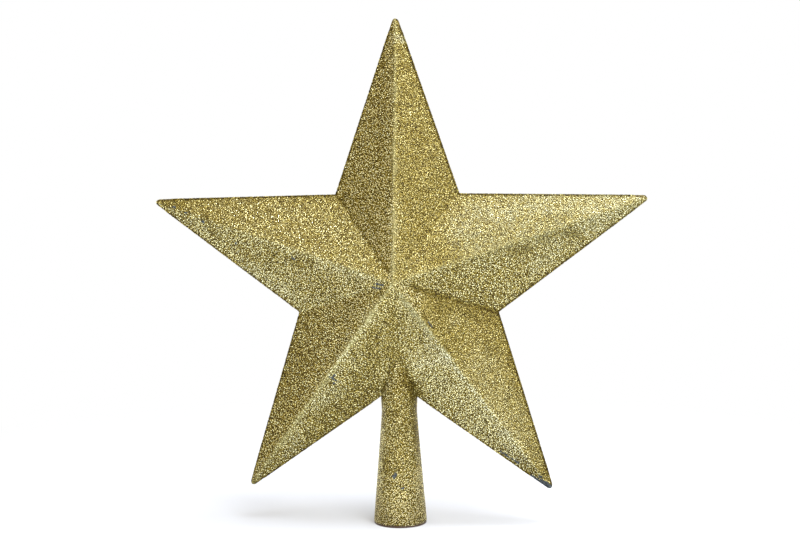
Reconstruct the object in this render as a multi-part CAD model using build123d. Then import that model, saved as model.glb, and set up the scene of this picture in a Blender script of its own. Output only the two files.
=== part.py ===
from build123d import *
from math import atan, cos, hypot, pi, radians, sin, sqrt, tan
import os

# A star for the top of a tree. Two moulded shells close on each other in the plane of the star's
# outline and hold between them the tapered sleeve that goes over the tree's tip. One coat of
# glitter covers shells and sleeve. Lengths are in millimetres. The middle of the sleeve's rim is
# the origin, Z is up and the star's front faces -Y.

# The star over its glitter
point_count = 5
tip_radius = 102.7  # to where the two edges of a point would meet
notch_radius = 40.8
tip_rounding = 1.4
apex_depth = 19.0  # from the seam plane to the middle of a face
edge_depth = 1.2  # half the thickness of the outline's edge
centre_height = 95.1

# The sleeve over its glitter
rim_radius = 10.5
sleeve_draft = 4.65  # degrees that each side leans in
sleeve_wall = 1.4
sleeve_clearance = 0.1
collar_width = 1.1  # of the ring round the sleeve's top, which the shells hold
collar_thickness = 2.0
collar_clearance = 0.15

# The glitter coat
coat_thickness = 0.3
coat_start = 0.8  # height of the bare rim below the coat

# The shells
shell_wall = 1.8
lap_depth = 0.6
lap_width_share = 0.5  # of the seam's land
lap_clearance = 0.1

# The posts that align the shells
post_points = (0, 2, 3)
post_distance = 45.0
post_radius = 3.0
pin_radius = 1.5
pin_length = 4.0
pin_clearance = 0.1

overrun = 2.0

# The faces of the star all lean alike, so a surface inside them is the same star, scaled
point_angle = pi / point_count
edge_length = sqrt(tip_radius**2 + notch_radius**2 - 2 * tip_radius * notch_radius * cos(point_angle))
edge_distance = tip_radius * notch_radius * sin(point_angle) / edge_length
face_slope = atan((apex_depth - edge_depth) / edge_distance)
half_room = tip_radius + centre_height

# The hollow inside the shells, and the step between them
shell_inside = coat_thickness + shell_wall
hollow_inset = (shell_inside / cos(face_slope) - edge_depth) / tan(face_slope)
hollow_apex = apex_depth - shell_inside / cos(face_slope)
hollow_notch = notch_radius * (1 - hollow_inset / edge_distance)
lap_inset = coat_thickness + (hollow_inset - coat_thickness) * lap_width_share

# The collar lies where the hollow's lowest valley is as deep as the collar is wide
sleeve_taper = tan(radians(sleeve_draft))
valley_slope = hollow_apex / hollow_notch
collar_reach = rim_radius - coat_thickness + collar_width + collar_clearance
collar_height = (collar_reach - hollow_apex + valley_slope * centre_height) / (valley_slope + sleeve_taper)
sleeve_top = collar_height + collar_thickness


def place(radius, turn):
    """Point in the star's plane at a radius from its middle, turned from straight up."""
    angle = pi / 2 + turn
    return (radius * cos(angle), centre_height + radius * sin(angle))


def outline(inset):
    """Corners of the star's outline moved in by an inset, a tip and a notch in turn."""
    inset_share = 1 - inset / edge_distance
    corners = []
    for index in range(point_count):
        corners.append(place(tip_radius * inset_share, 2 * index * point_angle))
        corners.append(place(notch_radius * inset_share, (2 * index + 1) * point_angle))
    return corners


def planar(points):
    """Flat face with the given corners."""
    return Face(Wire.make_polygon([Vector(*point) for point in points]))


def sharp_star(inset, edge, apex):
    """Star with sharp tips: half as thick as given at its outline's edge and in its middle."""
    corners = outline(inset)
    faces = []
    for (ax, az), (bx, bz) in zip(corners, corners[1:] + corners[:1]):
        if edge > 0:
            faces.append(planar([(ax, -edge, az), (bx, -edge, bz), (bx, edge, bz), (ax, edge, az)]))
        for side in (-1, 1):
            faces.append(planar([(ax, side * edge, az), (bx, side * edge, bz), (0, side * apex, centre_height)]))
    return Solid(Shell(faces))


def outline_prism(inset, low, high):
    """Prism over the outline between two distances along Y."""
    corners = [(x, low, z) for x, z in outline(inset)]
    return Solid.extrude(planar(corners), Vector(0, high - low, 0))


def rounded_prism(inset):
    """Prism over the outline with its tips rounded, deeper than the star."""
    prism = outline_prism(inset, -apex_depth - overrun, apex_depth + overrun)
    corners = prism.edges().filter_by(Axis.Y)
    tips = [edge for edge in corners if hypot(edge.center().X, edge.center().Z - centre_height) > notch_radius]
    return prism.fillet(tip_rounding - inset, tips)


def star(inset):
    """The star with its surface moved in by an inset and its tips rounded."""
    apex = apex_depth - inset / cos(face_slope)
    edge = edge_depth + inset * tan(face_slope) - inset / cos(face_slope)
    return sharp_star(inset, edge, apex) & rounded_prism(inset)


def cone(inset, low, high):
    """Round taper of the sleeve with its surface moved in by an inset, between two heights."""
    low_radius = rim_radius - inset - low * sleeve_taper
    high_radius = rim_radius - inset - high * sleeve_taper
    return Solid.make_cone(low_radius, high_radius, high - low, Plane(origin=(0, 0, low)))


def half_space(side):
    """Block over one side of the seam plane."""
    block = Box(2 * half_room, half_room, 2 * half_room, align=(Align.CENTER, Align.MIN, Align.MIN))
    return block if side > 0 else mirror(block, about=Plane.XZ)


def bar(point, radius, low, high):
    """Round bar along Y in one of the star's points, between two distances along Y."""
    x, z = place(post_distance, 2 * point * point_angle)
    return Solid.make_cylinder(radius, high - low, Plane(origin=(x, low, z), z_dir=(0, 1, 0)))


def sleeve_room():
    """The sleeve with its clearance, taller and lower than the sleeve itself."""
    return cone(coat_thickness - sleeve_clearance, -overrun, sleeve_top + overrun)


def half_shell(side):
    """One side of the star with its hollow cut out."""
    return (star(coat_thickness) & half_space(side)) - sharp_star(hollow_inset, 0, hollow_apex)


def front_shell():
    """Front half: a step in its seam takes the rear half's lip, and its posts end in pins."""
    shell = half_shell(-1)
    shell -= outline_prism(lap_inset - lap_clearance, -lap_depth - lap_clearance, overrun)
    for point in post_points:
        shell += bar(point, post_radius, -apex_depth, 0) & star(coat_thickness)
        shell += bar(point, pin_radius, -lap_depth, pin_length)
    return shell - sleeve_room()


def rear_shell():
    """Rear half: a lip stands on its seam, and its posts have sockets for the pins."""
    shell = half_shell(1)
    shell += outline_prism(lap_inset, -lap_depth, 0) - outline_prism(hollow_inset, -lap_depth - overrun, overrun)
    for point in post_points:
        shell += bar(point, post_radius, 0, apex_depth) & star(coat_thickness)
        shell -= bar(point, pin_radius + pin_clearance, -overrun, pin_length + pin_clearance)
    return shell - sleeve_room()


def sleeve():
    """Tapered tube, open at both ends, with a collar round its top inside the star."""
    collar_radius = rim_radius - coat_thickness - collar_height * sleeve_taper + collar_width
    collar = Solid.make_cylinder(collar_radius, collar_thickness, Plane(origin=(0, 0, collar_height)))
    bore = cone(coat_thickness + sleeve_wall, -overrun, sleeve_top + overrun)
    return cone(coat_thickness, 0, sleeve_top) + collar - bore


def glitter_coat():
    """Skin over the shells and the sleeve, open at the sleeve's rim."""
    outside = star(0) + cone(0, coat_start, sleeve_top)
    inside = star(coat_thickness) + cone(coat_thickness, 0, sleeve_top)
    return outside - inside


def main():
    os.makedirs("parts", exist_ok=True)
    for make in (front_shell, rear_shell, sleeve, glitter_coat):
        piece = make()
        piece.label = make.__name__
        export_step(piece, f"parts/{make.__name__}.step")


main()
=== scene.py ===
from math import asin, atan, atan2, cos, hypot, pi, radians, sin, sqrt, tan

import bmesh
import bpy
from mathutils import Matrix, Vector


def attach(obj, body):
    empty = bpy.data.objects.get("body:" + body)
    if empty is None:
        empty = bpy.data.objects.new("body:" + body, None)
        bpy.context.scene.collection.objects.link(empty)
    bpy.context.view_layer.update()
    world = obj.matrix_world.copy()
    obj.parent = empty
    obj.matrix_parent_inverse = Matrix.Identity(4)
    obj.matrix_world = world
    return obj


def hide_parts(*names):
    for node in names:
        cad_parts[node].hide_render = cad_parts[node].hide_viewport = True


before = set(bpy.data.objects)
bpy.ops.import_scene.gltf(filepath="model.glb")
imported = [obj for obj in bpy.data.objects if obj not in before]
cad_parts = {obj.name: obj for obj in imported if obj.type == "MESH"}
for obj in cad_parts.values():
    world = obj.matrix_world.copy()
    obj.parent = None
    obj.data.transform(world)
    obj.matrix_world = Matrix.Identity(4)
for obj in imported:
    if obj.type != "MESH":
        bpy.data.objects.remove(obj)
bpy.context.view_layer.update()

# A star for the top of a tree, covered in gold glitter. Its moulded shells and sleeve are the
# solids of the frame. The glitter is made here: a bed of glue and fine grains that follows the
# star and the sleeve, and about two hundred thousand loose flakes on it. Lengths are in metres,
# in the frame of the solids.

mm = 0.001

# The star over its glitter
point_names = ("top", "left", "low_left", "low_right", "right")
point_count = len(point_names)
tip_radius = 102.7 * mm
notch_radius = 40.8 * mm
tip_rounding = 1.4 * mm
apex_depth = 19.0 * mm
edge_depth = 1.2 * mm
centre_height = 95.1 * mm

# The sleeve over its glitter
rim_radius = 10.5 * mm
sleeve_taper = tan(radians(4.65))
coat_start = 0.8 * mm
coat_thickness = 0.3 * mm

# The bed of the glitter, which lies inside the coat so that flakes can stand up from it
bed_inset = 0.16 * mm
ridge_rounding = 0.3 * mm
valley_rounding = 0.6 * mm
edge_rounding = 0.5 * mm
apex_rounding = 0.12 * mm
corner_share = 0.4  # largest share of an edge that one of its rounded corners takes up
edge_steps = 24
tip_steps = 6
notch_steps = 3
level_count = 44
arc_steps = 3
sleeve_sides = 96
sleeve_rings = 40
sleeve_inside = 78 * mm  # height inside the star at which the sleeve's bed ends
flare_height = 50.5 * mm  # where the bed fills the corner between the sleeve and the star
flare_reach = 8 * mm
flare_width = 0.75 * mm

# The flakes
flake_width = 0.31 * mm
flakes_per_area = 40.0 / mm**2  # before those nearer to each other than the gap are dropped
flake_gap = 0.29 * mm
flake_tilt = radians(23)
least_scale = 0.75  # scale of the darkest flakes, and how much is added for the brightest
scale_range = 0.35
worn_growth = 0.1  # scale added where the glitter is worn
worn_flatness = 0.6  # share of the tilt lost where the glitter is worn
flake_seed = 11
patch_width = 0.8 * mm  # patches of flakes that hold bright and dark ones in equal shares
patch_row = 256  # patches in a row and rows in a layer, by which each patch gets its number
patch_layer = 64

# Tones of the flakes, from 0 for dark to 1 for bright: how widely they are spread and where their
# middle lies, on faces turned away from the light and on faces turned to it. This is painted light
# and shade: faces turned away from the light get darker, more widely spread tones.
painted_light_from = Vector((0.67, 0, 0.74))
turned_limit = 0.5  # cosine at which a face counts as turned there fully, or away
away_spread = 1.7
turned_spread = 0.7
away_middle = 0.46
turned_middle = 0.49
worn_spread = 0.55  # share of the spread that is left where the glitter is worn
outline_spread = 0.5  # share of the spread that is left on the outline's edge
blotch_width = 5 * mm
blotch_gain = 0.06  # what the blotches and the strokes at full strength add to a tone
pale_gain = 0.1
dark_gain = -0.36
bright_gain = 0.25
palette_margin = 0.02  # border of the flakes' palette map that stays empty
palette_spot = 0.012  # width of a flake on that map

# Where most values of a noise lie, and ranges that give harder and softer patches
noise_range = (0.3, 0.7)
hard_range = (0.35, 0.65)
soft_range = (0.2, 0.8)

# Where the glitter is rubbed pale along the ridges: shares near the apex and near the tip for
# each point, from the top one round to the left, on the front and on the rear
front_rub_shares = ((0.65, 0.5), (0.35, 0.05), (0.9, 0.6), (0.2, 0.1), (0.4, 0.15))
rear_rub_shares = ((0.6, 0.6), (0.8, 0.5), (0.5, 0.5), (0.9, 0.4), (0.7, 0.5))
rub_width = 1.6 * mm
rub_full = 0.25  # share of the width that is rubbed evenly
rub_near = 0.4  # share of the tip's radius up to which the first share holds
rub_change = 0.35  # share of the tip's radius over which it changes to the second
rub_patch = 9 * mm  # patches in which the rubbed band is narrower or wider
rub_widths = (0.35, 1.5)
rub_break = 4 * mm  # patches in which it is weaker or stronger
rub_strengths = (0.4, 1.1)

# Marks on the front, as strokes: bare spots, wear, bright and dark patches, and painted light and
# shade. Across and height of both ends, and the radius, in millimetres. All but the bare strokes end
# with how strong they are.
bare_strokes = (
    (-7.0, 94.6, -3.8, 94.3, 0.35),
    (-7.6, 93.1, -5.0, 93.0, 0.45),
    (-25.6, 58.7, -23.5, 56.9, 0.35),
    (-23.4, 59.7, -24.9, 57.8, 0.35),
    (-24.2, 55.9, -24.2, 55.9, 0.45),
    (-87.2, 123.8, -87.2, 123.8, 0.6),
    (-82.3, 121.5, -82.3, 121.5, 0.6),
    (-75.4, 117.9, -75.4, 117.9, 0.6),
    (-62.3, 109.7, -62.3, 109.7, 0.45),
    (51.2, 19.0, 54.0, 17.2, 0.55),
    (55.0, 16.9, 58.2, 14.6, 1.1),
    (53.8, 19.6, 54.6, 19.0, 0.35),
    (39.1, 28.6, 46.0, 24.4, 0.35),
    (-1.5, 19.4, -0.8, 20.6, 0.55),
    (1.5, 15.2, 2.0, 15.5, 0.45),
    (-39.4, 104.1, -38.8, 103.8, 0.4),
    (13.0, 80.0, 14.3, 78.2, 0.2),
)
pale_strokes = (
    (-1, 187.5, 3.5, 186.8, 2.4, 0.8),
    (32, 114, 84, 124, 18.0, 0.7),
    (-20, 112, -75, 123, 14.0, 0.15),
    (33, 62, 50.6, 29.6, 11.0, 0.4),
    (74, 115.4, 86, 120.5, 6.2, 0.5),
    (62, 108, 53, 101, 4.6, 0.35),
    (-27, 102.2, -12, 98.5, 3.3, 0.35),
    (-57.6, 99.9, -44, 90.5, 4.6, 0.35),
    (-23, 52, -30.6, 48.8, 5.0, 0.5),
    (-40, 34, -42, 27.6, 3.9, 0.45),
    (-8, 84, -10.7, 79.4, 3.5, 0.5),
    (7, 62.3, 19.6, 67, 2.3, 0.4),
    (2.8, 85.7, 18.8, 63.2, 3.4, 0.25),
    (3.0, 89.7, 20.5, 65.5, 2.0, 1.1),
    (20.5, 65.5, 35.3, 45.5, 1.7, 0.6),
    (-5.6, 87.5, -21.9, 65.1, 1.3, 0.5),
    (22.6, 80.4, 22.6, 80.4, 4.6, 0.25),
    (-1, 39, -1, 33, 2.7, 0.35),
    (-22.5, 62, -20, 66.5, 3.6, 0.45),
)
# bright patches, and painted light: on the sleeve's foot and sides, round its top, and a highlight
# beside the top ridge
bright_and_painted_light_strokes = (
    (-1, 187.5, 3.5, 186.8, 3.0, 0.4),
    (60, 107, 52, 101, 4.5, 0.2),
    (72, 114, 85, 119.8, 4.5, 0.2),
    (-38, 38, -43, 26, 5.0, 0.5),
    (4.5, 63, 11, 52, 2.0, 1.0),
    (0, 62, -5, 51.5, 2.0, 0.8),
    (0, 104, 0, 124, 4.5, 0.3),
    (12, 64, 40, 30, 12.0, 1.15),
    (-18, 69, -24, 62, 2.5, 0.4),
    (32, 44, 46, 26, 6.0, 0.65),
    (30, 70, 42, 40, 10.0, 0.3),
    (-12, 106, -60, 121, 14.0, 0.2),
    (-7.5, 36, -9.8, 1, 4.0, 1.8),
    (8.5, 20, 9.8, 1, 4.0, 1.3),
    (-9, 2, 9, 2, 17.0, 0.9),
    (-9, 0.8, 9, 0.8, 5.0, 0.9),
    (-77, 113.5, -38, 87, 3.0, 0.35),
    (20, 49, 52, 23.5, 3.0, 0.35),
    (62, 103, 42, 88, 3.0, 0.3),
    (24, 80, 34, 73, 6.0, 0.3),
    (-1.8, 183, -2.0, 140, 1.3, 0.4),
)
# dark patches, and painted shade in the sleeve's crease, down its right side and along the valleys
dark_and_painted_shade_strokes = (
    (-38.5, 102.3, -33, 101.6, 3.1, 0.8),
    (-70, 112.5, -36, 102.5, 3.5, 0.35),
    (-74.4, 118.7, -71.6, 114, 3.1, 0.7),
    (-62.8, 112.5, -62.8, 112.5, 3.1, 0.5),
    (-35, 95.5, -25, 92, 4.6, 0.3),
    (-94, 125.5, -85, 124.5, 4.0, 0.45),
    (44.5, 106, 50, 107, 3.1, 0.8),
    (55.7, 110.4, 55.7, 110.4, 2.7, 0.5),
    (20, 105, 62, 116, 9.0, 0.25),
    (65, 113, 69, 112, 2.3, 0.7),
    (19.8, 95, 19.8, 95, 4.6, 0.4),
    (35, 95.8, 35, 95.8, 2.3, 0.4),
    (7, 93.4, 38.5, 82.6, 1.6, 1.0),
    (35.5, 68.4, 35.5, 68.4, 5.4, 0.2),
    (17, 86, 37.4, 79.6, 4.6, 0.2),
    (-1, 83, -2, 72, 3.5, 0.35),
    (10, 72.5, 12.5, 68, 2.3, 0.6),
    (2.4, 59.8, 6.6, 50.3, 3.2, 0.8),
    (5.9, 48.7, 7.2, 33, 1.9, 0.7),
    (-3, 69, 0.5, 62, 4.2, 0.5),
    (-1, 61, 2.4, 52, 4.5, 0.2),
    (-2, 100, -22.5, 127, 1.2, 0.6),
    (-8, 76, -9.7, 60, 4.0, 0.5),
    (-5.4, 27, -4.3, 21, 1.9, 0.5),
    (0.5, 46, 0.5, 26, 5.0, 0.2),
    (-37, 79.5, -38, 68, 3.9, 0.3),
    (-10.4, 49, -21, 40, 3.1, 0.4),
    (-14, 52, -40, 28, 9.0, 0.44),
    (-38, 66, -50, 30, 10.0, 0.36),
    (-57, 14.8, -57, 14.8, 1.9, 0.7),
    (-66, 110, -27, 94.5, 9.0, 0.25),
    (10.8, 82.4, 14.5, 77.8, 0.7, 1.0),
    (3.0, 89.7, 20.5, 65.5, 2.4, 0.28),
    (20.5, 65.5, 30, 52.5, 2.0, 0.15),
    (18.0, 71.6, 21.4, 68.2, 0.7, 0.9),
)
spot_grain = 0.7 * mm  # size and reach of the raggedness round the bare strokes
spot_roughness = 2.0 * mm
stroke_full = 0.3  # share of a stroke's radius from which it fades
stroke_patch = 2.5 * mm  # patches in which a stroke is weaker or stronger
patchy_strengths = (0.5, 1.3)
even_strengths = (0.9, 1.0)

# The outline's edge, where the flakes stand steeper and are darker: their darker tones are painted
# shade along the star's edges. Along the star's edges they are larger there, and near its tips
# smaller and less dark.
outline_depth = 1.45 * mm  # how far from the seam plane it reaches
outline_full = 0.9  # share of that depth from which it fades
outline_strength = 0.9
outline_tilt = 2.2  # share of the tilt that is added at full strength
tips_from = 0.91 * tip_radius
tips_full = 0.94 * tip_radius
edge_growth = 0.45  # scale added at full strength
tip_growth = -0.3
# painted shade of the outline, full along the edges and weaker at the tips
edge_darkness = 1.0
tip_darkness = 0.3

# The glue under the flakes, and the plastic in the bare spots
grain_width = 0.4 * mm
grain_height = 0.15 * mm
spot_edge = 0.1 * mm  # how far within and outside a spot's edge the glue thins out
spot_mottle = 0.6 * mm

# The moulded plastic of the shells and the sleeve
plastic_mottle = 4 * mm
plastic_grain = 0.5 * mm
plastic_relief = 0.05 * mm
plastic_roughness = (0.42, 0.58)
rim_dark_full = 1.0 * mm  # heights over the rim between which its dark brown band fades
rim_dark_end = 2.4 * mm
rim_dark_raggedness = 3 * mm

# The white floor, the backdrop and the room
floor_half = 3.0
floor_colour = (0.6, 0.578, 0.537, 1)
shadow_near = 0.1  # distances from the star between which its shadow fades into plain white
shadow_far = 0.3
shadow_white = 0.25  # share of plain white in the shadow
backdrop_from = 0.4  # how far back a mirrored way has to lead to meet the backdrop
backdrop_full = 0.75
room_light = (0.6, 0.6, 0.6, 1)
room_mirrored = (1.4, 1.21, 0.77, 1)
white = (1, 1, 1, 1)

# The camera, fitted to the star's points in a picture 800 pixels wide
picture_width = 800
camera_azimuth = radians(6.025)
camera_elevation = radians(3.988)
camera_roll = radians(-0.579)
camera_distance = 514.4 * mm
camera_target = Vector((0.778 * mm, 0, 97.366 * mm))
camera_focal_pixels = 1331.0

# The star's faces all lean alike, so a surface inside them is the same star, scaled
point_angle = pi / point_count
edge_length = sqrt(tip_radius**2 + notch_radius**2 - 2 * tip_radius * notch_radius * cos(point_angle))
edge_distance = tip_radius * notch_radius * sin(point_angle) / edge_length
face_slope = atan((apex_depth - edge_depth) / edge_distance)
tip_half_angle = asin(edge_distance / tip_radius)
notch_half_angle = point_angle + tip_half_angle

# The bed's own star
bed_share = 1 - bed_inset / edge_distance
bed_edge_distance = edge_distance * bed_share
bed_apex = apex_depth - bed_inset / cos(face_slope)
bed_edge = edge_depth + bed_inset * tan(face_slope) - bed_inset / cos(face_slope)
tip_cut = 1 / sin(tip_half_angle) - 1
bed_reach = tip_radius * bed_share - (tip_rounding - bed_inset) * tip_cut


def linear(red, green, blue):
    """Linear colour from the usual 0 to 255 values."""
    shares = [value / 255 for value in (red, green, blue)]
    return tuple(s / 12.92 if s <= 0.04045 else ((s + 0.055) / 1.055) ** 2.4 for s in shares) + (1.0,)


def node(tree, kind, inputs=None, **settings):
    """Adds a node, sets its options and gives its inputs a value or a link."""
    made = tree.nodes.new(kind)
    for name, value in settings.items():
        setattr(made, name, value)
    for key, value in (inputs or {}).items():
        found = made.inputs[key] if isinstance(key, int) else shown_input(made, key)
        if isinstance(value, bpy.types.NodeSocket):
            tree.links.new(value, found)
        else:
            found.default_value = value
    return made


def shown_input(made, name):
    """The input of that name that the node's options leave in use."""
    return next(socket for socket in made.inputs if socket.enabled and socket.name == name)


def shown_output(made, name):
    """The output of that name that the node's options leave in use."""
    return next(socket for socket in made.outputs if socket.enabled and socket.name == name)


def calc(tree, operation, *values):
    """Output of a Math node."""
    return node(tree, "ShaderNodeMath", dict(enumerate(values)), operation=operation).outputs[0]


def span(tree, value, low, high, start=0.0, end=1.0):
    """Output of a smooth step of a value between two limits."""
    inputs = {"Value": value, "From Min": low, "From Max": high, "To Min": start, "To Max": end}
    return node(tree, "ShaderNodeMapRange", inputs, interpolation_type="SMOOTHSTEP").outputs[0]


def blend(tree, share, first, second):
    """Output of a mix of two colours."""
    inputs = {"Factor": share, "A": first, "B": second}
    return shown_output(node(tree, "ShaderNodeMix", inputs, data_type="RGBA"), "Result")


def ramp(tree, value, stops):
    """Output of a colour ramp with the given places and colours."""
    made = node(tree, "ShaderNodeValToRGB", {"Fac": value})
    bar = made.color_ramp.elements
    while len(bar) < len(stops):
        bar.new(1.0)
    for element, (place, colour) in zip(bar, stops):
        element.position = place
        element.color = colour
    return made.outputs["Color"]


def noise(tree, place, size, detail=3.0):
    """Output of a noise whose features have about the given size."""
    inputs = {"Vector": place, "Scale": 1 / size, "Detail": detail}
    return node(tree, "ShaderNodeTexNoise", inputs).outputs["Fac"]


def mesh_object(name, mesh):
    """Object at the origin that shows a mesh."""
    made = bpy.data.objects.new(name, mesh)
    bpy.context.scene.collection.objects.link(made)
    return made


def finished_mesh(made):
    """Plain mesh of an object with its modifiers applied."""
    graph = bpy.context.evaluated_depsgraph_get()
    return bpy.data.meshes.new_from_object(made.evaluated_get(graph), depsgraph=graph)


def contour(level):
    """Points round the bed's outline shrunk to a level, in the star's plane, with rounded corners."""
    tip = tip_radius * bed_share * level
    notch = notch_radius * bed_share * level
    corner_room = corner_share * edge_length * level
    tip_round = max(ridge_rounding, (tip - bed_reach) / tip_cut)
    tip_round = min(tip_round, corner_room * tan(tip_half_angle))
    notch_round = min(valley_rounding, corner_room * tan(notch_half_angle))
    tip_middle = tip - tip_round / sin(tip_half_angle)
    notch_middle = notch + notch_round / sin(notch_half_angle)
    tip_sweep = pi / 2 - tip_half_angle
    notch_sweep = pi / 2 - notch_half_angle
    arcs = []
    for index in range(point_count):
        tip_turn = pi / 2 + 2 * index * point_angle
        notch_turn = tip_turn + point_angle
        arcs.append(rounded_corner(tip_middle, tip_round, tip_turn, tip_sweep, tip_steps))
        arcs.append(rounded_corner(notch_middle, -notch_round, notch_turn, -notch_sweep, notch_steps))
    points = []
    for arc, following in zip(arcs, arcs[1:] + arcs[:1]):
        points += arc + between(arc[-1], following[0])
    return points


def rounded_corner(middle, radius, turn, sweep, count):
    """Points on a rounded corner that bulges outwards, or inwards where its radius is negative."""
    return [middle * unit(turn) + radius * unit(turn + share * sweep) for share in steps(-1, 1, count)]


def unit(angle):
    """Unit vector in a plane at an angle."""
    return Vector((cos(angle), sin(angle)))


def steps(start, end, count):
    """Evenly spaced values from start to end."""
    return [start + (end - start) * index / count for index in range(count + 1)]


def between(start, end):
    """Points on a straight edge between its two ends, which are left out."""
    return [start.lerp(end, index / edge_steps) for index in range(1, edge_steps)]


def bed_levels():
    """Level and depth of each ring of the bed, from the seam plane to just short of the apex."""
    rings = [(1.0, 0.0)]
    reach = edge_rounding / tan((pi / 2 + face_slope) / 2)
    turn = pi / 2 - face_slope
    for share in steps(0, 1, arc_steps):
        inward = edge_rounding * (1 - cos(turn * share))
        depth = bed_edge - reach + edge_rounding * sin(turn * share)
        rings.append((1 - inward / bed_edge_distance, depth))
    tip_corner = (bed_reach + ridge_rounding * tip_cut) / (tip_radius * bed_share)
    for level in steps(tip_corner, 1 / level_count, level_count):
        distance = level * bed_edge_distance * tan(face_slope)
        depth = bed_apex - hypot(distance, apex_rounding)
        rings.append((level, depth))
    return rings


def star_mesh():
    """Closed mesh of the bed over the star, both faces."""
    rings = bed_levels()
    around = len(contour(1.0))
    made = bmesh.new()
    loops = []
    for side in (-1, 1):
        for level, depth in rings[::-1] if side < 0 else rings[1:]:
            ring = [(p.x, side * depth, centre_height + p.y) for p in contour(level)]
            loops.append([made.verts.new(place) for place in ring])
    for inner, outer in zip(loops, loops[1:]):
        for index in range(around):
            following = (index + 1) % around
            made.faces.new((inner[index], inner[following], outer[following], outer[index]))
    for loop, side in ((loops[0], -1), (loops[-1], 1)):
        apex = made.verts.new((0, side * (bed_apex - apex_rounding), centre_height))
        for index in range(around):
            made.faces.new((loop[index], loop[(index + 1) % around], apex))
    return to_mesh(made, "star_bed")


def sleeve_radius(height):
    """Radius of the bed on the sleeve at a height."""
    share = min(1, abs(height - flare_height) / flare_reach)
    return rim_radius - bed_inset - height * sleeve_taper + flare_width * cos(share * pi / 2) ** 2


def sleeve_mesh():
    """Closed mesh of the bed over the sleeve, with a rounded end at the rim."""
    lip = coat_thickness - bed_inset
    profile = [(rim_radius - coat_thickness - bed_inset, coat_start)]
    for share in steps(0, 1, arc_steps):
        angle = share * pi / 2
        height = coat_start + lip * (1 - cos(angle))
        radius = rim_radius - coat_thickness + lip * sin(angle) - height * sleeve_taper
        profile.append((radius, height))
    for height in steps(profile[-1][1], sleeve_inside, sleeve_rings)[1:]:
        profile.append((sleeve_radius(height), height))
    made = bmesh.new()
    loops = []
    for radius, height in profile:
        ring = [radius * unit(2 * pi * index / sleeve_sides) for index in range(sleeve_sides)]
        loops.append([made.verts.new((p.x, p.y, height)) for p in ring])
    for lower, upper in zip(loops, loops[1:]):
        for index in range(sleeve_sides):
            following = (index + 1) % sleeve_sides
            made.faces.new((lower[index], lower[following], upper[following], upper[index]))
    made.faces.new(loops[0][::-1])
    made.faces.new(loops[-1])
    return to_mesh(made, "sleeve_bed")


def to_mesh(made, name):
    """Mesh of a bmesh with its faces turned outwards."""
    bmesh.ops.recalc_face_normals(made, faces=made.faces)
    mesh = bpy.data.meshes.new(name)
    made.to_mesh(mesh)
    made.free()
    return mesh


def joined_bed():
    """Mesh of the star's and the sleeve's beds as one closed skin."""
    star = mesh_object("star_bed", star_mesh())
    sleeve = mesh_object("sleeve_bed", sleeve_mesh())
    join = star.modifiers.new("join", "BOOLEAN")
    join.operation = "UNION"
    join.solver = "EXACT"
    join.object = sleeve
    mesh = finished_mesh(star)
    for used in (star, sleeve):
        bpy.data.objects.remove(used)
    return mesh


def turn_of(place):
    """Angle of a place round the star's middle, from the top towards the left."""
    return atan2(-place.x, place.z - centre_height)


def point_of(place):
    """Index of the star's point that a place belongs to, from the top one round to the left."""
    return round(turn_of(place) / (2 * point_angle)) % point_count


def on_sleeve(place):
    """Whether a place on the bed belongs to the sleeve."""
    slack = bed_inset / 4
    below = place.z < centre_height - notch_radius / 2
    return below and hypot(place.x, place.y) < sleeve_radius(place.z) + slack


def on_front(place):
    """Whether a place on the bed belongs to the star's front."""
    return place.y < 0 and not on_sleeve(place)


def on_rear(place):
    """Whether a place on the bed belongs to the star's rear."""
    return place.y >= 0 and not on_sleeve(place)


def on_point(on_side, index):
    """Test for places on a side of the star that belong to one of its points."""
    return lambda place: on_side(place) and point_of(place) == index


def bed_part(whole, name, wanted):
    """Object with the bed's faces whose middle is wanted, without the cap inside the rim."""
    made = bmesh.new()
    made.from_mesh(whole)
    cap_height = coat_start + bed_inset / 10
    spare = []
    for face in made.faces:
        middle = face.calc_center_median()
        is_cap = middle.z < cap_height and len(face.verts) > 4
        if is_cap or not wanted(middle):
            spare.append(face)
    bmesh.ops.delete(made, geom=spare, context="FACES")
    mesh = bpy.data.meshes.new(name)
    made.to_mesh(mesh)
    made.free()
    mark_ridges(mesh)
    for face in mesh.polygons:
        face.use_smooth = False
    return mesh_object(name, mesh)


def mark_ridges(mesh):
    """Stores how far each vertex is from its point's ridge, and how much that ridge is rubbed."""
    gaps = mesh.attributes.new("ridge_gap", "FLOAT", "POINT")
    rubs = mesh.attributes.new("ridge_rub", "FLOAT", "POINT")
    for index, vertex in enumerate(mesh.vertices):
        reach = hypot(vertex.co.x, vertex.co.z - centre_height)
        point = point_of(vertex.co)
        gaps.data[index].value = abs(reach * sin(turn_of(vertex.co) - 2 * point_angle * point))
        shares = front_rub_shares if vertex.co.y < 0 else rear_rub_shares
        inner, outer = shares[point]
        along = min(max(reach / tip_radius - rub_near, 0) / rub_change, 1)
        rubs.data[index].value = inner + (outer - inner) * along


def stroke_gap(tree, flat, stroke):
    """Output of how far a place in the star's plane is from a stroke's middle line."""
    start = Vector((stroke[0], 0, stroke[1])) * mm
    along = Vector((stroke[2], 0, stroke[3])) * mm - start
    offset = node(tree, "ShaderNodeVectorMath", {0: flat, 1: start}, operation="SUBTRACT").outputs[0]
    if along.length == 0:
        return node(tree, "ShaderNodeVectorMath", {0: offset}, operation="LENGTH").outputs["Value"]
    inputs = {0: offset, 1: along / along.length_squared}
    share = node(tree, "ShaderNodeVectorMath", inputs, operation="DOT_PRODUCT").outputs["Value"]
    inputs = {0: along, "Scale": node(tree, "ShaderNodeClamp", {"Value": share}).outputs[0]}
    nearest = node(tree, "ShaderNodeVectorMath", inputs, operation="SCALE").outputs[0]
    inputs = {0: offset, 1: nearest}
    return node(tree, "ShaderNodeVectorMath", inputs, operation="DISTANCE").outputs["Value"]


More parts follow.
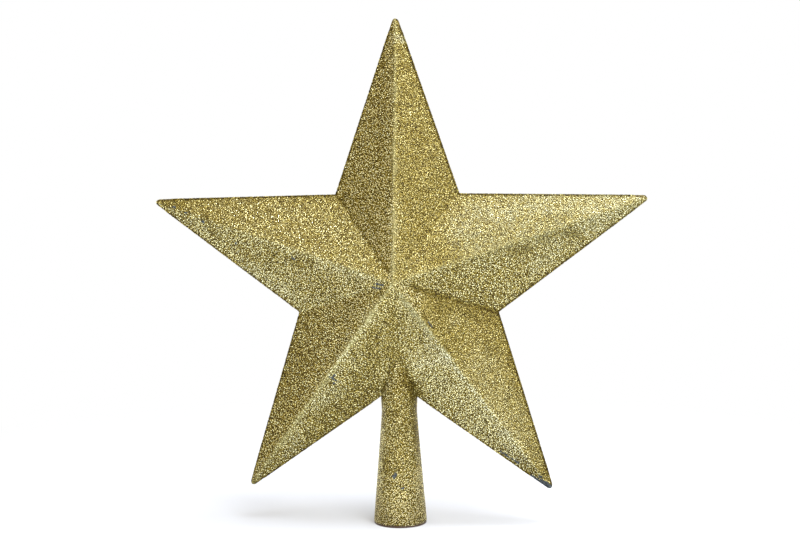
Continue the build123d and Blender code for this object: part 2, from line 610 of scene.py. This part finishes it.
def in_plane(tree, place):
    """Outputs of a place moved into the star's plane, and of whether it is on the front."""
    parts = node(tree, "ShaderNodeSeparateXYZ", {0: place}).outputs
    flat = node(tree, "ShaderNodeCombineXYZ", {"X": parts["X"], "Z": parts["Z"]}).outputs[0]
    return flat, calc(tree, "LESS_THAN", parts["Y"], 0.0)


def spot_gap(tree, place):
    """Output of how far a place is outside the nearest bare stroke, roughened."""
    flat, front = in_plane(tree, place)
    nearest = 1.0
    for stroke in bare_strokes:
        gap = calc(tree, "SUBTRACT", stroke_gap(tree, flat, stroke), stroke[4] * mm)
        nearest = calc(tree, "MINIMUM", gap, nearest)
    rough = calc(tree, "SUBTRACT", noise(tree, place, spot_grain), 0.5)
    roughened = calc(tree, "MULTIPLY_ADD", rough, spot_roughness, nearest)
    return calc(tree, "ADD", roughened, calc(tree, "SUBTRACT", 1.0, front))


def stroke_share(tree, place, strokes, strengths):
    """Output of how strongly strokes mark a place on the front, patchy and faded at their ends."""
    flat, front = in_plane(tree, place)
    most = 0.0
    for stroke in strokes:
        radius = stroke[4] * mm
        near = span(tree, stroke_gap(tree, flat, stroke), stroke_full * radius, radius, stroke[5], 0.0)
        most = calc(tree, "MAXIMUM", near, most)
    patch = span(tree, noise(tree, place, stroke_patch), *noise_range, *strengths)
    return calc(tree, "MULTIPLY", calc(tree, "MULTIPLY", most, patch), front)


def rub_share(tree, place, gap, rub):
    """Output of how far the glitter is rubbed pale along the ridges, from 0 to about 1."""
    widths = span(tree, noise(tree, place, rub_patch), *noise_range, *rub_widths)
    width = calc(tree, "MULTIPLY", rub_width, widths)
    near = span(tree, calc(tree, "DIVIDE", gap, width), rub_full, 1.0, 1.0, 0.0)
    broken = span(tree, noise(tree, place, rub_break), *hard_range, *rub_strengths)
    return calc(tree, "MULTIPLY", calc(tree, "MULTIPLY", near, broken), rub)


def star_share(tree, place):
    """Output of 1 on the star, and of 0 on the sleeve and on the strip above it up to the middle."""
    parts = node(tree, "ShaderNodeSeparateXYZ", {0: place}).outputs
    above = calc(tree, "GREATER_THAN", parts["Z"], centre_height)
    beside = calc(tree, "GREATER_THAN", calc(tree, "ABSOLUTE", parts["X"]), rim_radius)
    return calc(tree, "MAXIMUM", above, beside)


def outline_share(tree, place, on_star):
    """Output of how far a place belongs to the outline's edge."""
    depth = calc(tree, "ABSOLUTE", node(tree, "ShaderNodeSeparateXYZ", {0: place}).outputs["Y"])
    near = span(tree, depth, outline_full * outline_depth, outline_depth, outline_strength, 0.0)
    return calc(tree, "MULTIPLY", near, on_star)


def edge_to_tip(tree, place, edge, tip):
    """Output of a value that changes from one along the star's edges to another at its tips."""
    middle = (0, centre_height / mm)
    reach = stroke_gap(tree, in_plane(tree, place)[0], middle + middle)
    return span(tree, reach, tips_from, tips_full, edge, tip)


def tone_spread(tree, normal, on_star):
    """Outputs of how widely the flakes' tones are spread on a face, and of their middle: painted shade.
    """
    inputs = {0: normal, 1: painted_light_from}
    turned = node(tree, "ShaderNodeVectorMath", inputs, operation="DOT_PRODUCT").outputs["Value"]
    turned = calc(tree, "MULTIPLY", turned, on_star)
    # faces turned away from the light get a darker middle and a wider spread of tones: painted shade
    spread = span(tree, turned, -turned_limit, turned_limit, away_spread, turned_spread)
    star_spread = calc(tree, "MULTIPLY", spread, on_star)
    middle = span(tree, star_spread, turned_spread, away_spread, turned_middle, away_middle)
    return spread, middle


def flake_tone(tree, place, chance, spread, middle, pale, outline):
    """Output of a flake's tone: by chance, changed by blotches, strokes and the outline's painted shade.
    """
    # painted shade on the outline, and dark strokes with painted shade in creases and valleys
    edge = calc(tree, "MULTIPLY", outline, edge_to_tip(tree, place, edge_darkness, tip_darkness))
    dark = calc(tree, "MAXIMUM", edge, stroke_share(tree, place, dark_and_painted_shade_strokes, patchy_strengths))
    bright = stroke_share(tree, place, bright_and_painted_light_strokes, even_strengths)
    blotch = calc(tree, "SUBTRACT", noise(tree, place, blotch_width), 0.5)
    tone = calc(tree, "MULTIPLY_ADD", calc(tree, "SUBTRACT", chance, 0.5), spread, middle)
    changes = ((blotch, blotch_gain), (pale, pale_gain), (dark, dark_gain), (bright, bright_gain))
    for share, gain in changes:
        tone = calc(tree, "MULTIPLY_ADD", share, gain, tone)
    return tone


def flake_turn(tree, lying, tilt, worn, outline, seed):
    """Output of a flake's rotation: lying on the bed, then tilted and turned at random."""
    level = calc(tree, "SUBTRACT", 1.0, calc(tree, "MULTIPLY", worn, worn_flatness))
    level = calc(tree, "MULTIPLY_ADD", outline, outline_tilt, level)
    high = calc(tree, "MULTIPLY", tilt, level)
    low = calc(tree, "MULTIPLY", high, -1.0)
    least = node(tree, "ShaderNodeCombineXYZ", {"X": low, "Y": low, "Z": -pi}).outputs[0]
    most = node(tree, "ShaderNodeCombineXYZ", {"X": high, "Y": high, "Z": pi}).outputs[0]
    turn = random_value(tree, "FLOAT_VECTOR", least, most, seed)
    turn = node(tree, "FunctionNodeEulerToRotation", {0: turn}).outputs[0]
    inputs = {"Rotation": lying, "Rotate By": turn}
    return node(tree, "FunctionNodeRotateRotation", inputs, rotation_space="LOCAL").outputs[0]


def flake_scale(tree, place, chance, worn, outline):
    """Output of a flake's scale, larger for bright and worn ones and along the star's edges."""
    scale = calc(tree, "MULTIPLY_ADD", chance, scale_range, least_scale)
    scale = calc(tree, "MULTIPLY_ADD", worn, worn_growth, scale)
    growth = calc(tree, "MULTIPLY", outline, edge_to_tip(tree, place, edge_growth, tip_growth))
    return calc(tree, "ADD", scale, growth)


def scatter_inputs(tree):
    """Gives a tree a bed, the flakes' sizes and a seed to read, and flakes to hand on."""
    tree.interface.new_socket("Geometry", in_out="INPUT", socket_type="NodeSocketGeometry")
    for name in ("Flakes per area", "Flake gap", "Flake width", "Tilt"):
        tree.interface.new_socket(name, in_out="INPUT", socket_type="NodeSocketFloat")
    tree.interface.new_socket("Seed", in_out="INPUT", socket_type="NodeSocketInt")
    tree.interface.new_socket("Geometry", in_out="OUTPUT", socket_type="NodeSocketGeometry")
    return node(tree, "NodeGroupInput").outputs


def scattered_points(tree, place, given):
    """Outputs of points on a bed outside its bare spots, of its normal and of a flat flake's turn."""
    inputs = {
        "Mesh": given["Geometry"],
        "Distance Min": given["Flake gap"],
        "Density Max": given["Flakes per area"],
        "Seed": given["Seed"],
    }
    made = node(tree, "GeometryNodeDistributePointsOnFaces", inputs, distribute_method="POISSON")
    scatter = made.outputs
    bare = calc(tree, "LESS_THAN", spot_gap(tree, place), 0.0)
    inputs = {"Geometry": scatter["Points"], "Selection": bare}
    points = node(tree, "GeometryNodeDeleteGeometry", inputs, domain="POINT").outputs[0]
    return points, scatter["Normal"], scatter["Rotation"]


def flake_tree(material):
    """Geometry nodes that scatter flakes over a bed and give each a tone."""
    tree = bpy.data.node_groups.new("scatter_flakes", "GeometryNodeTree")
    given = scatter_inputs(tree)
    place = node(tree, "GeometryNodeInputPosition").outputs[0]
    points, normal, lying = scattered_points(tree, place, given)

    rubbed = rub_share(tree, place, stored_value(tree, "ridge_gap"), stored_value(tree, "ridge_rub"))
    pale = stroke_share(tree, place, pale_strokes, patchy_strengths)
    worn = calc(tree, "MAXIMUM", rubbed, pale)
    on_star = star_share(tree, place)
    outline = outline_share(tree, place, on_star)
    spread, middle = tone_spread(tree, normal, on_star)
    spread = calc(tree, "MULTIPLY", spread, span(tree, worn, 0.0, 1.0, 1.0, worn_spread))
    spread = calc(tree, "MULTIPLY", spread, span(tree, outline, 0.0, 1.0, 1.0, outline_spread))
    chance = even_chance(tree, place, given["Seed"])
    tone = flake_tone(tree, place, chance, spread, middle, pale, outline)
    points = stored(tree, points, "tone", tone)
    points = stored(tree, points, "worn", worn)

    width = given["Flake width"]
    inputs = {"Size X": width, "Size Y": width, "Vertices X": 2, "Vertices Y": 2}
    square = node(tree, "GeometryNodeMeshGrid", inputs).outputs
    inputs = {
        "Points": points,
        "Instance": square["Mesh"],
        "Rotation": flake_turn(tree, lying, given["Tilt"], worn, outline, given["Seed"]),
        "Scale": flake_scale(tree, place, chance, worn, outline),
    }
    flakes = node(tree, "GeometryNodeInstanceOnPoints", inputs).outputs[0]
    flakes = node(tree, "GeometryNodeRealizeInstances", {"Geometry": flakes}).outputs[0]
    flakes = palette_map(tree, flakes, square["UV Map"])
    flakes = node(tree, "GeometryNodeSetMaterial", {"Geometry": flakes, "Material": material}).outputs[0]
    node(tree, "NodeGroupOutput", {"Geometry": flakes})
    return tree


def even_chance(tree, place, seed):
    """Output of a chance from 0 to 1 that takes all values evenly among neighbouring flakes."""
    inputs = {0: place, "Scale": 1 / patch_width}
    patch = node(tree, "ShaderNodeVectorMath", inputs, operation="SCALE").outputs[0]
    patch = node(tree, "ShaderNodeVectorMath", {0: patch}, operation="FLOOR").outputs[0]
    inputs = {0: patch, 1: (1, patch_row, patch_row * patch_layer)}
    number = node(tree, "ShaderNodeVectorMath", inputs, operation="DOT_PRODUCT").outputs["Value"]
    inputs = {"Value": 1, "Group ID": number}
    order = node(tree, "GeometryNodeAccumulateField", inputs, data_type="INT", domain="POINT")
    start = random_value(tree, "FLOAT", 0.0, 1.0, seed, number)
    golden_share = (sqrt(5) - 1) / 2
    before = shown_output(order, "Trailing")
    return calc(tree, "FRACT", calc(tree, "MULTIPLY_ADD", before, golden_share, start))


def random_value(tree, kind, low, high, seed, number=None):
    """Output of a random value between two limits, the same wherever a number is the same."""
    inputs = {"Min": low, "Max": high, "Seed": seed}
    if number is not None:
        inputs["ID"] = number
    return shown_output(node(tree, "FunctionNodeRandomValue", inputs, data_type=kind), "Value")


def stored(tree, geometry, name, value, kind="FLOAT", domain="POINT"):
    """Geometry with a value stored on it under a name."""
    inputs = {"Geometry": geometry, "Name": name, "Value": value}
    made = node(tree, "GeometryNodeStoreNamedAttribute", inputs, data_type=kind, domain=domain)
    return made.outputs[0]


def stored_value(tree, name):
    """Output of the value that is stored under a name."""
    made = node(tree, "GeometryNodeInputNamedAttribute", {"Name": name}, data_type="FLOAT")
    return shown_output(made, "Attribute")


def palette_map(tree, flakes, square_map):
    """Flakes with a map on which each lies at its tone, across, and at its wear, up."""
    corners = node(tree, "ShaderNodeSeparateXYZ", {0: square_map}).outputs
    places = []
    for name, axis in (("tone", "X"), ("worn", "Y")):
        value = stored_value(tree, name)
        offset = calc(tree, "MULTIPLY", calc(tree, "SUBTRACT", corners[axis], 0.5), palette_spot)
        inputs = {"Value": value, "To Min": palette_margin, "To Max": 1 - palette_margin}
        inside = node(tree, "ShaderNodeMapRange", inputs).outputs[0]
        places.append(calc(tree, "ADD", inside, offset))
    mapped = node(tree, "ShaderNodeCombineXYZ", {"X": places[0], "Y": places[1]}).outputs[0]
    flakes = stored(tree, flakes, "OFBake", mapped, "FLOAT2", "CORNER")
    for name in ("tone", "worn"):
        flakes = node(tree, "GeometryNodeRemoveAttribute", {"Geometry": flakes, "Name": name}).outputs[0]
    return flakes


def scatter_over(made, tree, seed):
    """Turns an object with a part of the bed into the flakes that lie on it."""
    scatter = made.modifiers.new("scatter", "NODES")
    scatter.node_group = tree
    values = {
        "Flakes per area": flakes_per_area,
        "Flake gap": flake_gap,
        "Flake width": flake_width,
        "Tilt": flake_tilt,
        "Seed": seed,
    }
    for item in tree.interface.items_tree:
        if item.in_out == "INPUT" and item.name in values:
            scatter[item.identifier] = values[item.name]
    flakes = finished_mesh(made)
    made.modifiers.remove(scatter)
    made.data = flakes


def surface(name):
    """New material, its node tree and its shader."""
    material = bpy.data.materials.new(name)
    material.use_nodes = True
    tree = material.node_tree
    return material, tree, tree.nodes["Principled BSDF"]


def flake_gold():
    """Metallic gold of the loose flakes: tone across the palette map, wear up it."""
    material, tree, shader = surface("flake_gold")
    spot = node(tree, "ShaderNodeUVMap", uv_map="OFBake").outputs[0]
    parts = node(tree, "ShaderNodeSeparateXYZ", {0: spot})
    fresh = ramp(
        tree,
        parts.outputs["X"],
        (
            (0.0, linear(36, 26, 1)),
            (0.15, linear(84, 70, 14)),
            (0.5, linear(157, 144, 77)),
            (0.76, linear(205, 192, 127)),
            (0.88, linear(248, 238, 180)),
            (1.0, linear(253, 248, 203)),
        ),
    )
    pale = ramp(
        tree,
        parts.outputs["X"],
        (
            (0.0, linear(88, 83, 48)),
            (0.5, linear(150, 146, 106)),
            (0.85, linear(206, 203, 168)),
            (1.0, linear(244, 243, 222)),
        ),
    )
    tree.links.new(blend(tree, parts.outputs["Y"], fresh, pale), shader.inputs["Base Color"])
    shader.inputs["Metallic"].default_value = 1.0
    shader.inputs["Specular Tint"].default_value = linear(195, 168, 92)
    shader.inputs["Roughness"].default_value = 0.5
    return material


def glue_gold():
    """Bed under the flakes: dark gold grains in glue, pale where rubbed, bare in spots."""
    material, tree, shader = surface("glue_gold")
    place = node(tree, "ShaderNodeTexCoord").outputs["Object"]
    cells = node(tree, "ShaderNodeTexVoronoi", {"Vector": place, "Scale": 1 / grain_width})
    chance = node(tree, "ShaderNodeSeparateColor", {0: cells.outputs["Color"]}).outputs[0]
    grains = ramp(
        tree,
        chance,
        (
            (0.0, linear(32, 23, 1)),
            (0.6, linear(56, 44, 6)),
            (1.0, linear(108, 91, 29)),
        ),
    )
    pale = ramp(tree, chance, ((0.0, linear(70, 62, 30)), (1.0, linear(126, 118, 74))))
    plastic = ramp(
        tree,
        noise(tree, place, spot_mottle, 2.0),
        ((0.3, linear(28, 33, 38)), (0.7, linear(76, 81, 82))),
    )
    gap = node(tree, "ShaderNodeAttribute", attribute_name="ridge_gap").outputs["Fac"]
    rub = node(tree, "ShaderNodeAttribute", attribute_name="ridge_rub").outputs["Fac"]
    colour = blend(tree, rub_share(tree, place, gap, rub), grains, pale)
    bare = span(tree, spot_gap(tree, place), -spot_edge, spot_edge, 1.0, 0.0)
    tree.links.new(blend(tree, bare, colour, plastic), shader.inputs["Base Color"])
    inputs = {"Height": cells.outputs["Distance"], "Strength": 0.6, "Distance": grain_height}
    bump = node(tree, "ShaderNodeBump", inputs)
    tree.links.new(bump.outputs[0], shader.inputs["Normal"])
    shader.inputs["Metallic"].default_value = 0.5
    shader.inputs["Roughness"].default_value = 0.5
    shader.inputs["Specular IOR Level"].default_value = 0.2
    return material


def moulded_plastic():
    """Bare moulded plastic, grey-blue, faintly mottled and dark brown at the rim."""
    material, tree, shader = surface("moulded_plastic")
    place = node(tree, "ShaderNodeTexCoord").outputs["Object"]
    mottle = noise(tree, place, plastic_mottle, 4.0)
    grey = ramp(tree, mottle, ((0.3, linear(120, 126, 136)), (0.7, linear(150, 155, 162))))
    height = node(tree, "ShaderNodeSeparateXYZ", {0: place}).outputs["Z"]
    ragged_height = calc(tree, "MULTIPLY_ADD", calc(tree, "SUBTRACT", mottle, 0.5), rim_dark_raggedness, height)
    rim_dark = span(tree, ragged_height, rim_dark_full, rim_dark_end, 1.0, 0.0)
    tree.links.new(blend(tree, rim_dark, grey, linear(62, 44, 30)), shader.inputs["Base Color"])
    grain = noise(tree, place, plastic_grain)
    rough = span(tree, grain, *soft_range, *plastic_roughness)
    tree.links.new(rough, shader.inputs["Roughness"])
    inputs = {"Height": grain, "Strength": 0.25, "Distance": plastic_relief}
    tree.links.new(node(tree, "ShaderNodeBump", inputs).outputs[0], shader.inputs["Normal"])
    return material


def floor():
    """White floor that keeps the star's soft shadow near it and is plain white further off."""
    mesh = bpy.data.meshes.new("floor")
    corners = [(x * floor_half, y * floor_half, 0) for x, y in ((-1, -1), (1, -1), (1, 1), (-1, 1))]
    mesh.from_pydata(corners, [], [(0, 1, 2, 3)])
    made = mesh_object("floor", mesh)
    material, tree, shader = surface("white_floor")
    shader.inputs["Base Color"].default_value = floor_colour
    shader.inputs["Roughness"].default_value = 0.9
    shader.inputs["Specular IOR Level"].default_value = 0.0
    place = node(tree, "ShaderNodeTexCoord").outputs["Object"]
    distance = node(tree, "ShaderNodeVectorMath", {0: place}, operation="LENGTH").outputs["Value"]
    plain = span(tree, distance, shadow_near, shadow_far, shadow_white, 1.0)
    glow = node(tree, "ShaderNodeEmission", {"Color": white, "Strength": 1.0})
    path = node(tree, "ShaderNodeLightPath").outputs
    mirrored = calc(tree, "MAXIMUM", path["Is Glossy Ray"], path["Is Transmission Ray"])
    share = calc(tree, "MAXIMUM", calc(tree, "MULTIPLY", plain, path["Is Camera Ray"]), mirrored)
    mixed = node(tree, "ShaderNodeMixShader", {0: share, 1: shader.outputs[0], 2: glow.outputs[0]})
    tree.links.new(mixed.outputs[0], tree.nodes["Material Output"].inputs["Surface"])
    mesh.materials.append(material)


def room():
    """White backdrop, and the dimmer room that lights the star."""
    world = bpy.data.worlds.new("room")
    bpy.context.scene.world = world
    world.use_nodes = True
    tree = world.node_tree
    tree.nodes.clear()
    way = node(tree, "ShaderNodeTexCoord").outputs["Generated"]
    parts = node(tree, "ShaderNodeSeparateXYZ", {0: way}).outputs
    path = node(tree, "ShaderNodeLightPath").outputs
    behind = span(tree, parts["Y"], backdrop_from, backdrop_full)
    mirrored = calc(tree, "MAXIMUM", path["Is Glossy Ray"], path["Is Transmission Ray"])
    shown = calc(tree, "MAXIMUM", path["Is Camera Ray"], calc(tree, "MULTIPLY", mirrored, behind))
    glow = blend(tree, path["Is Glossy Ray"], room_light, room_mirrored)
    dim = node(tree, "ShaderNodeBackground", {"Color": glow, "Strength": 1.0})
    backdrop = node(tree, "ShaderNodeBackground", {"Color": white, "Strength": 1.0})
    mixed = node(tree, "ShaderNodeMixShader", {0: shown, 1: dim.outputs[0], 2: backdrop.outputs[0]})
    node(tree, "ShaderNodeOutputWorld", {"Surface": mixed.outputs[0]})


def softbox(name, place, aim, size, power, colour):
    """Area lamp that points at an aim."""
    lamp = bpy.data.lights.new(name, "AREA")
    lamp.shape = "RECTANGLE"
    lamp.size, lamp.size_y = size
    lamp.energy = power
    lamp.color = colour
    made = bpy.data.objects.new(name, lamp)
    made.location = place
    made.rotation_euler = (Vector(aim) - Vector(place)).to_track_quat("-Z", "Y").to_euler()
    bpy.context.scene.collection.objects.link(made)


def camera():
    """Camera at the picture's viewing angle."""
    back = Vector((
        sin(camera_azimuth) * cos(camera_elevation),
        -cos(camera_azimuth) * cos(camera_elevation),
        sin(camera_elevation),
    ))
    right = Vector((cos(camera_azimuth), sin(camera_azimuth), 0))
    up = back.cross(right)
    across = right * cos(camera_roll) + up * sin(camera_roll)
    upward = up * cos(camera_roll) - right * sin(camera_roll)
    lens = bpy.data.cameras.new("camera")
    lens.sensor_fit = "HORIZONTAL"
    lens.lens = lens.sensor_width * camera_focal_pixels / picture_width
    lens.clip_start = 0.01
    made = bpy.data.objects.new("camera", lens)
    turn = Matrix((across, upward, back)).transposed().to_4x4()
    made.matrix_world = Matrix.Translation(camera_target + camera_distance * back) @ turn
    bpy.context.scene.collection.objects.link(made)
    bpy.context.scene.camera = made


def glitter():
    """The glitter coat: beds on the front, the rear and the sleeve, and flakes on each point of them."""
    whole = joined_bed()
    glue = glue_gold()
    tree = flake_tree(flake_gold())
    beds = {"sleeve": on_sleeve, "front": on_front, "rear": on_rear}
    parts = {"sleeve": on_sleeve}
    for side in ("front", "rear"):
        for index, name in enumerate(point_names):
            parts[f"{side}_{name}"] = on_point(beds[side], index)
    for name, wanted in beds.items():
        bed = bed_part(whole, "glue_" + name, wanted)
        bed.data.materials.append(glue)
        dress(bed)
    for seed, (name, wanted) in enumerate(parts.items(), flake_seed):
        flakes = bed_part(whole, "flakes_" + name, wanted)
        scatter_over(flakes, tree, seed)
        dress(flakes)


def dress(piece):
    """Attaches a piece to the root body in place of the frame's glitter coat, which is hidden."""
    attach(piece, "root")
    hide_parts("glitter_coat")


def bare_shells():
    """The shells and the sleeve of the frame in bare plastic."""
    plastic = moulded_plastic()
    for name in ("front_shell", "rear_shell", "sleeve"):
        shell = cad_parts[name]
        for slot in shell.material_slots:
            slot.material = plastic


def lamps():
    """A large softbox overhead, a weaker one in front, and two on the floor that shine straight up."""
    middle = (0, 0, centre_height)
    softbox(
        "overhead",
        place=(0.27, -0.1, 1.0),
        aim=middle,
        size=(0.6, 0.5),
        power=18.5,
        colour=(0.9, 1, 1.24),
    )
    softbox(
        "front",
        place=(0.37, -0.7, 0.5),
        aim=middle,
        size=(0.6, 0.6),
        power=5.7,
        colour=(0.96, 1, 1.07),
    )
    for side in (-1, 1):
        softbox(
            "upward",
            place=(-0.06, side * 0.31, 0.002),
            aim=(-0.06, side * 0.31, 1),
            size=(1.04, 0.58),
            power=4.35,
            colour=(0.92, 1, 1),
        )


bpy.context.scene.view_settings.view_transform = "Standard"
bare_shells()
glitter()
floor()
room()
lamps()
camera()
